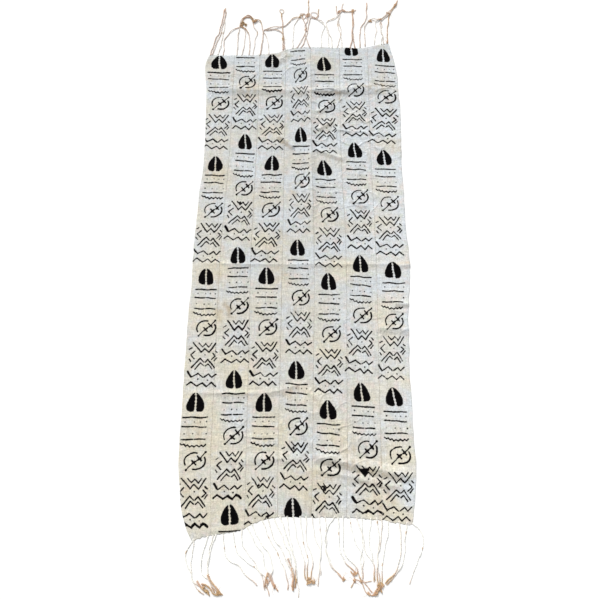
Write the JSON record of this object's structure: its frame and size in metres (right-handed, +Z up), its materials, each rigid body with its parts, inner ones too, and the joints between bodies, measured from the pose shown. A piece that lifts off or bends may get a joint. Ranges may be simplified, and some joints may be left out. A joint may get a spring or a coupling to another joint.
{
  "type": "bogolan mud cloth",
  "caption": "Narrow hand-woven cotton strips sewn edge to edge, with a dark stamped repeat of traditional marks, lying flat with soft folds and a loose warp fringe at both ends.",
  "frame": {"origin": "middle of the part's box, at the level of the surface that the cloth lies on", "axes": "+X across the strips to the right of the picture, +Y along the strips to its far end, +Z up out of the cloth"},
  "size_m": [0.7801, 2.1627, 0.0111],
  "materials": {
    "woven_cotton": "matte handspun cotton, pale grey-cream with dark mud-dyed marks",
    "loose_warp": "matte loose cotton yarn, cream with tan tips"
  },
  "bodies": {
    "root": {"strip_1": "woven_cotton", "strip_2": "woven_cotton", "strip_3": "woven_cotton", "strip_4": "woven_cotton", "strip_5": "woven_cotton", "strip_6": "woven_cotton", "strip_7": "woven_cotton", "fringe_top": "loose_warp", "fringe_bottom": "loose_warp"}
  },
  "joints": []
}
